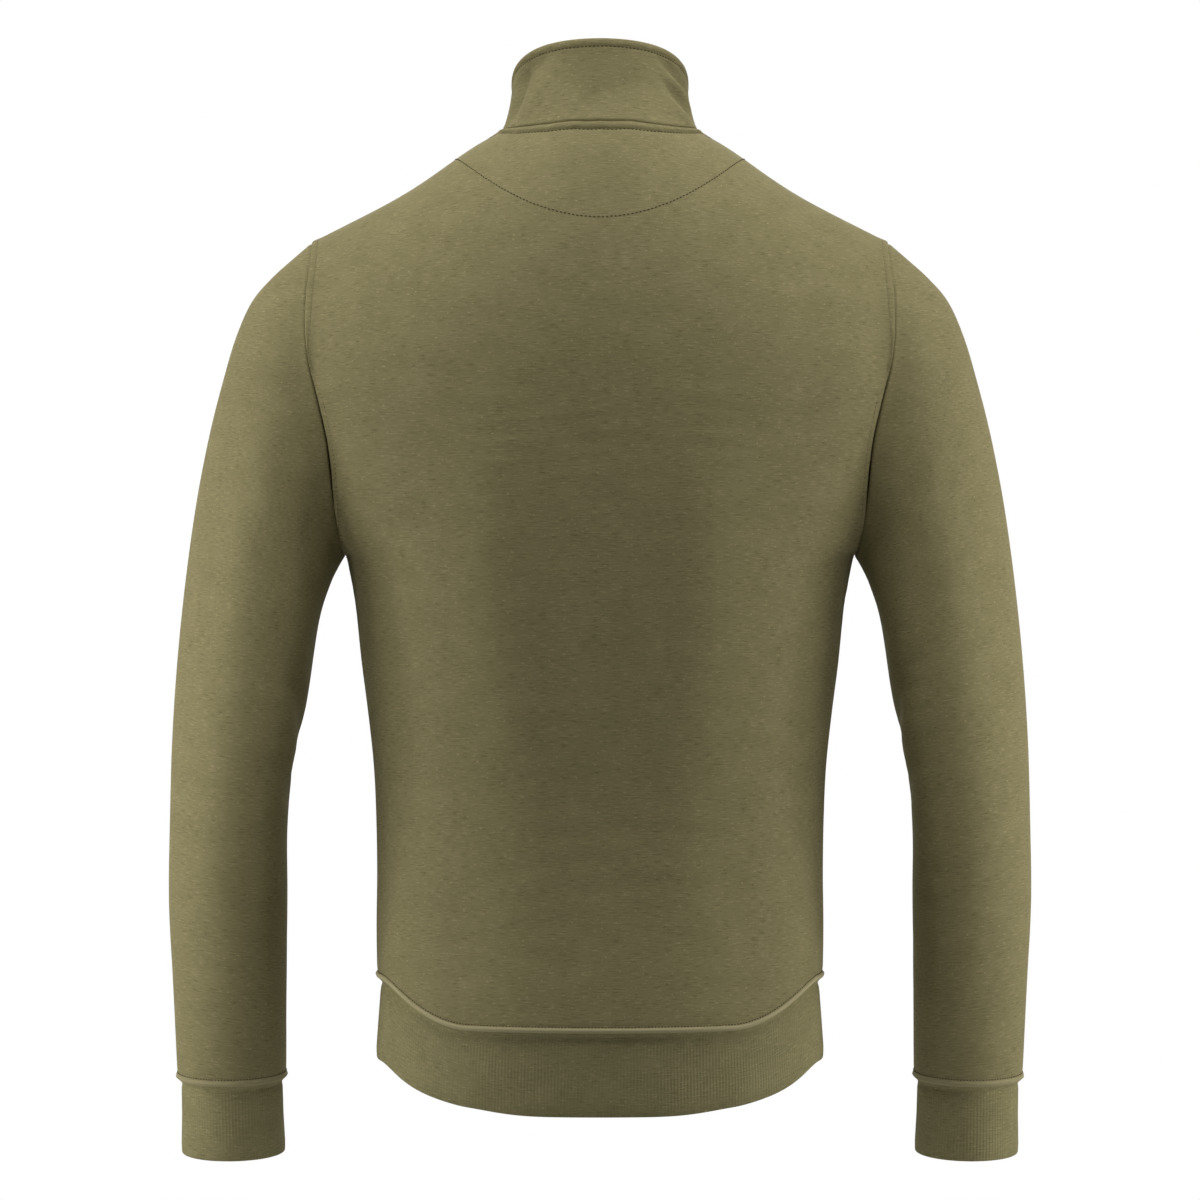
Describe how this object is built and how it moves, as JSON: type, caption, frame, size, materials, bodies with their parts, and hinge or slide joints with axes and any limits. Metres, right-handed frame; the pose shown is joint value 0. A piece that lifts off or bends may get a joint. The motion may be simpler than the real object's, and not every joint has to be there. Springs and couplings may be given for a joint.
{
  "type": "quarter-zip sweatshirt",
  "caption": "Long-sleeved olive-green sweatshirt with a stand collar, short front zip, rib hem band and rib cuffs, filled out and hollow as if worn.",
  "frame": {"origin": "centre of the neck opening, at the height of the two points where the shoulder seams meet the collar", "axes": "front faces -Y, back faces +Y, wearer's left is +X, body hangs down -Z from the neck"},
  "size_m": [0.6216, 0.2455, 0.7995],
  "materials": {
    "olive_fleece": "brushed, matt, slightly heathered",
    "olive_rib": "fine rib knit, matt",
    "olive_tape": "woven tape",
    "olive_chain": "satin coil",
    "dark_nickel": "polished dark plating"
  },
  "bodies": {
    "garment": {"back": "olive_fleece", "front": "olive_fleece", "half_moon": "olive_fleece", "sleeve_left": "olive_fleece", "sleeve_right": "olive_fleece", "cuff_left": "olive_rib", "cuff_right": "olive_rib", "hem_band": "olive_rib", "collar": "olive_fleece", "zip_tape_left": "olive_tape", "zip_tape_right": "olive_tape", "zip_chain": "olive_chain", "zip_stop": "dark_nickel", "zip_slider": "dark_nickel"},
    "pull_tab": {"zip_pull": "dark_nickel"}
  },
  "joints": [
    {"name": "pull_tab_hinge", "type": "hinge", "parent": "garment", "child": "pull_tab", "pos_m": [0, -0.08486, -0.01364], "axis": [-1, 0, 0], "range_deg": [0, 165]}
  ]
}
